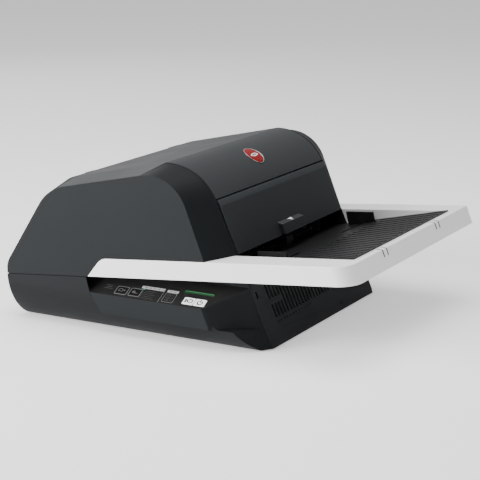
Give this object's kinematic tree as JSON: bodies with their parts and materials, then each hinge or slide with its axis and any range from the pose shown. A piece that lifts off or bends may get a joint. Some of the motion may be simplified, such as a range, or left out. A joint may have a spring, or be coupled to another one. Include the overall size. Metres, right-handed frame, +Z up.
{
  "type": "automatic sheet-fed laminator",
  "caption": "Desktop laminator with a sloping sheet feed tray, lifting hood over a film cartridge, feed flap, side control panel and rear exit.",
  "frame": {"origin": "on the table, under the middle of the bounding box", "axes": "+X towards the outer end of the feed tray, +Z up, control panel on the -Y side"},
  "size_m": [0.588, 0.452, 0.26],
  "materials": {
    "black_plastic": "fine texture",
    "bright_steel": "polished",
    "bronze": "satin",
    "cartridge_grey": "moulded",
    "charcoal_housing": "fine texture",
    "circuit_board": "satin",
    "dark_housing": "fine texture",
    "film": "clear film",
    "gear_white": "moulded",
    "green_lens": "clear",
    "heater_glass": "clear",
    "hood_grey": "satin",
    "light_tray": "satin",
    "panel_black": "satin film",
    "red_badge": "gloss",
    "roller_rubber": "matte",
    "silicone_red": "satin",
    "white_key": "satin",
    "zinc_steel": "zinc plated"
  },
  "bodies": {
    "root": {"base_housing": "dark_housing", "chassis_plate": "zinc_steel", "control_panel": "panel_black", "cutter_rail": "zinc_steel", "drive_belt": "roller_rubber", "fan_housing": "black_plastic", "far_side_frame": "zinc_steel", "far_side_housing": "charcoal_housing", "feed_motor": "zinc_steel", "feed_tray": "light_tray", "film_cartridge": "cartridge_grey", "frame_ties": "bright_steel", "front_grille": "dark_housing", "heater_rods": "heater_glass", "hinge_pins": "bright_steel", "housing_screws": "bright_steel", "main_circuit_board": "circuit_board", "main_motor": "zinc_steel", "mains_inlet": "black_plastic", "near_side_frame": "zinc_steel", "near_side_housing": "charcoal_housing", "panel_circuit_board": "circuit_board", "power_supply": "zinc_steel", "rear_panel": "charcoal_housing", "roller_bushes": "bronze", "rubber_feet": "roller_rubber", "separation_pad": "roller_rubber", "status_lights": "green_lens", "tray_bottom_cover": "light_tray", "tray_floor": "black_plastic"},
    "hood": {"hood": "hood_grey", "hood_frame": "black_plastic", "badge": "red_badge"},
    "rear_door": {"rear_door": "charcoal_housing"},
    "door_latch": {"door_latch": "light_tray"},
    "feed_flap": {"feed_flap": "charcoal_housing"},
    "near_paper_guide": {"near_paper_guide": "black_plastic"},
    "far_paper_guide": {"far_paper_guide": "black_plastic"},
    "guide_pinion": {"guide_pinion": "gear_white"},
    "laminate_key": {"laminate_key": "black_plastic"},
    "film_key": {"film_key": "black_plastic"},
    "reverse_key": {"reverse_key": "white_key"},
    "power_key": {"power_key": "white_key"},
    "pick_arm": {"pick_arm": "black_plastic"},
    "pick_roller": {"pick_roller": "roller_rubber"},
    "cutter_carriage": {"cutter_carriage": "black_plastic"},
    "cutter_wheel": {"cutter_wheel": "bright_steel"},
    "fan_rotor": {"fan_rotor": "black_plastic"},
    "main_motor_pinion": {"main_motor_pinion": "bronze"},
    "feed_motor_pinion": {"feed_motor_pinion": "bronze"},
    "upper_film_roll": {"upper_film_roll": "film"},
    "lower_film_roll": {"lower_film_roll": "film"},
    "lower_heated_roller": {"lower_heated_roller": "silicone_red"},
    "upper_heated_roller": {"upper_heated_roller": "silicone_red"},
    "lower_pull_roller": {"lower_pull_roller": "roller_rubber"},
    "upper_pull_roller": {"upper_pull_roller": "roller_rubber"},
    "lower_exit_roller": {"lower_exit_roller": "roller_rubber"},
    "upper_exit_roller": {"upper_exit_roller": "roller_rubber"},
    "lower_feed_roller": {"lower_feed_roller": "roller_rubber"},
    "upper_feed_roller": {"upper_feed_roller": "roller_rubber"}
  },
  "joints": [
    {"name": "hood_hinge", "type": "hinge", "parent": "root", "child": "hood", "pos_m": [-0.203, 0, 0.2195], "axis": [0, -1, 0], "range_deg": [0, 60]},
    {"name": "rear_door_hinge", "type": "hinge", "parent": "root", "child": "rear_door", "pos_m": [-0.283, 0, 0.1162], "axis": [0, -1, 0], "range_deg": [0, 80]},
    {"name": "door_latch_press", "type": "slide", "parent": "root", "child": "door_latch", "axis": [0, 0, -1], "range_m": [0, 0.0025], "stiffness_N_per_m": 250, "springref_m": -0.001},
    {"name": "feed_flap_hinge", "type": "hinge", "parent": "root", "child": "feed_flap", "pos_m": [0.0484, 0, 0.205], "axis": [0, -1, 0], "range_deg": [0, 75]},
    {"name": "near_paper_guide_slide", "type": "slide", "parent": "root", "child": "near_paper_guide", "axis": [0, 1, 0], "range_m": [0, 0.07069]},
    {"name": "far_paper_guide_slide", "type": "slide", "parent": "root", "child": "far_paper_guide", "axis": [0, -1, 0], "range_m": [0, 0.07069]},
    {"name": "guide_pinion_turn", "type": "hinge", "parent": "root", "child": "guide_pinion", "pos_m": [0.133, 0, 0.12144], "axis": [0.2283, 0, -0.9736], "range_deg": [0, 337.6]},
    {"name": "laminate_key_press", "type": "slide", "parent": "root", "child": "laminate_key", "axis": [0, 0.4856, -0.8742], "range_m": [0, 0.0008], "stiffness_N_per_m": 900, "springref_m": -0.0006},
    {"name": "film_key_press", "type": "slide", "parent": "root", "child": "film_key", "axis": [0, 0.4856, -0.8742], "range_m": [0, 0.0008], "stiffness_N_per_m": 900, "springref_m": -0.0006},
    {"name": "reverse_key_press", "type": "slide", "parent": "root", "child": "reverse_key", "axis": [0, 0.4856, -0.8742], "range_m": [0, 0.0008], "stiffness_N_per_m": 900, "springref_m": -0.0006},
    {"name": "power_key_press", "type": "slide", "parent": "root", "child": "power_key", "axis": [0, 0.4856, -0.8742], "range_m": [0, 0.0008], "stiffness_N_per_m": 900, "springref_m": -0.0006},
    {"name": "lower_heated_roller_spin", "type": "hinge", "parent": "root", "child": "lower_heated_roller", "pos_m": [-0.09, 0, 0.0848], "axis": [0, 1, 0], "continuous": true},
    {"name": "upper_heated_roller_spin", "type": "hinge", "parent": "root", "child": "upper_heated_roller", "pos_m": [-0.09, 0, 0.1252], "axis": [0, 1, 0], "continuous": true},
    {"name": "lower_pull_roller_spin", "type": "hinge", "parent": "root", "child": "lower_pull_roller", "pos_m": [-0.15, 0, 0.0908], "axis": [0, 1, 0], "continuous": true},
    {"name": "upper_pull_roller_spin", "type": "hinge", "parent": "root", "child": "upper_pull_roller", "pos_m": [-0.15, 0, 0.1192], "axis": [0, 1, 0], "continuous": true},
    {"name": "lower_exit_roller_spin", "type": "hinge", "parent": "root", "child": "lower_exit_roller", "pos_m": [-0.24, 0, 0.0938], "axis": [0, 1, 0], "continuous": true},
    {"name": "upper_exit_roller_spin", "type": "hinge", "parent": "root", "child": "upper_exit_roller", "pos_m": [-0.24, 0, 0.1162], "axis": [0, 1, 0], "continuous": true},
    {"name": "lower_feed_roller_spin", "type": "hinge", "parent": "root", "child": "lower_feed_roller", "pos_m": [0.03, 0, 0.0968], "axis": [0, 1, 0], "continuous": true},
    {"name": "upper_feed_roller_spin", "type": "hinge", "parent": "root", "child": "upper_feed_roller", "pos_m": [0.03, 0, 0.1132], "axis": [0, 1, 0], "continuous": true},
    {"name": "main_motor_pinion_spin", "type": "hinge", "parent": "root", "child": "main_motor_pinion", "pos_m": [-0.11124, 0, 0.10024], "axis": [0, 1, 0], "continuous": true},
    {"name": "feed_motor_pinion_spin", "type": "hinge", "parent": "root", "child": "feed_motor_pinion", "pos_m": [0.01985, 0, 0.08665], "axis": [0, 1, 0], "continuous": true},
    {"name": "upper_film_roll_spin", "type": "hinge", "parent": "root", "child": "upper_film_roll", "pos_m": [-0.023, 0, 0.178], "axis": [0, 1, 0], "continuous": true},
    {"name": "lower_film_roll_spin", "type": "hinge", "parent": "root", "child": "lower_film_roll", "pos_m": [-0.023, 0, 0.051], "axis": [0, 1, 0], "continuous": true},
    {"name": "pick_arm_lift", "type": "hinge", "parent": "root", "child": "pick_arm", "pos_m": [0.03, 0, 0.1132], "axis": [0, -1, 0], "range_deg": [0, 14]},
    {"name": "pick_roller_spin", "type": "hinge", "parent": "pick_arm", "child": "pick_roller", "pos_m": [0.07, 0, 0.1196], "axis": [0, 1, 0], "continuous": true},
    {"name": "cutter_carriage_slide", "type": "slide", "parent": "root", "child": "cutter_carriage", "axis": [0, 1, 0], "range_m": [0, 0.276]},
    {"name": "cutter_wheel_spin", "type": "hinge", "parent": "cutter_carriage", "child": "cutter_wheel", "pos_m": [-0.195, -0.138, 0.113], "axis": [1, 0, 0], "continuous": true},
    {"name": "fan_rotor_spin", "type": "hinge", "parent": "root", "child": "fan_rotor", "pos_m": [0.088, -0.043, 0.0467], "axis": [1, 0, 0], "continuous": true}
  ],
  "couplings": [
    {"joint": "far_paper_guide_slide", "follows": "near_paper_guide_slide", "ratio": 1},
    {"joint": "guide_pinion_turn", "follows": "near_paper_guide_slide", "rad_per_m": 83.333},
    {"joint": "upper_heated_roller_spin", "follows": "lower_heated_roller_spin", "ratio": -1},
    {"joint": "lower_pull_roller_spin", "follows": "lower_heated_roller_spin", "ratio": 1.4286},
    {"joint": "upper_pull_roller_spin", "follows": "lower_heated_roller_spin", "ratio": -1.4286},
    {"joint": "lower_exit_roller_spin", "follows": "lower_heated_roller_spin", "ratio": 1.8182},
    {"joint": "upper_exit_roller_spin", "follows": "lower_heated_roller_spin", "ratio": -1.8182},
    {"joint": "main_motor_pinion_spin", "follows": "lower_heated_roller_spin", "ratio": -3.3333},
    {"joint": "upper_feed_roller_spin", "follows": "lower_feed_roller_spin", "ratio": -1},
    {"joint": "feed_motor_pinion_spin", "follows": "lower_feed_roller_spin", "ratio": -1.3333},
    {"joint": "pick_roller_spin", "follows": "lower_feed_roller_spin", "ratio": -0.72727},
    {"joint": "cutter_wheel_spin", "follows": "cutter_carriage_slide", "rad_per_m": 100}
  ]
}
